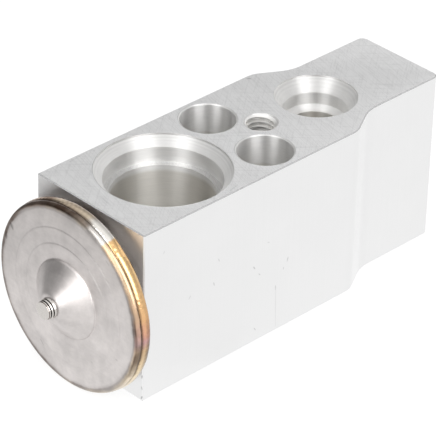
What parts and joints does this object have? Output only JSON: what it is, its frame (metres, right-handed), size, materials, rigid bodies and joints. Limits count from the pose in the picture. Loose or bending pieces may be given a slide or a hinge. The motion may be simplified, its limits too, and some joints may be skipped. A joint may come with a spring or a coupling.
{
  "type": "thermostatic expansion valve",
  "caption": "Block-type expansion valve: aluminium block with suction, inlet and outlet ports, a welded diaphragm head at one end and a superheat screw at the other.",
  "frame": {"origin": "midway between the two flange bolt holes, on the underside of the block, the face that meets the evaporator", "axes": "+X along the valve axis from the diaphragm head to the adjusting screw, +Y across the block along the line of the bolt holes, +Z from the underside to the face with the suction and liquid ports"},
  "size_m": [0.091, 0.0374, 0.0374],
  "materials": {
    "block_aluminium": "extruded bar, sawn and milled faces, bare",
    "head_steel": "turned stainless steel",
    "cap_steel": "pressed stainless sheet with faint turning rings and a heat tint at the rim",
    "weld_steel": "weld bead, straw and gold heat tint",
    "plug_steel": "bright turned steel",
    "plate_brass": "turned, satin",
    "shaft_aluminium": "turned, satin",
    "rod_steel": "ground stainless",
    "ball_steel": "polished hardened steel",
    "carrier_brass": "turned, satin",
    "spring_steel": "cold drawn",
    "screw_steel": "turned, zinc plated",
    "backup_plastic": "white fluoropolymer",
    "seal_rubber": "matte"
  },
  "bodies": {
    "valve_body": {"valve_block": "block_aluminium", "head_flange": "head_steel", "diaphragm": "spring_steel", "diaphragm_cap": "cap_steel", "rim_weld": "weld_steel", "charge_plug": "plug_steel", "head_o_ring": "seal_rubber", "rod_o_ring": "seal_rubber", "rod_backup_washer": "backup_plastic", "rod_seal_retainer": "spring_steel", "superheat_spring": "spring_steel"},
    "valve_rod": {"stop_plate": "plate_brass", "sensing_shaft": "shaft_aluminium", "push_rod": "rod_steel", "valve_ball": "ball_steel", "ball_carrier": "carrier_brass", "damper_spring": "spring_steel"},
    "screw_seal": {"screw_o_ring": "seal_rubber"},
    "adjusting_screw": {"adjusting_screw": "screw_steel"}
  },
  "joints": [
    {"name": "rod_slide", "type": "slide", "parent": "valve_body", "child": "valve_rod", "axis": [1, 0, 0], "range_m": [0, 0.0008], "stiffness_N_per_m": 400, "springref_m": -0.0008, "deforming": ["superheat_spring", "diaphragm"]},
    {"name": "screw_feed", "type": "slide", "parent": "valve_body", "child": "screw_seal", "axis": [1, 0, 0], "range_m": [-0.00101, 0.00101]},
    {"name": "screw_turn", "type": "hinge", "parent": "screw_seal", "child": "adjusting_screw", "pos_m": [0.038, 0, 0.0176], "axis": [1, 0, 0], "range_deg": [-360, 360]}
  ],
  "couplings": [
    {"joint": "screw_feed", "follows": "screw_turn", "m_per_rad": 0.00015915}
  ]
}
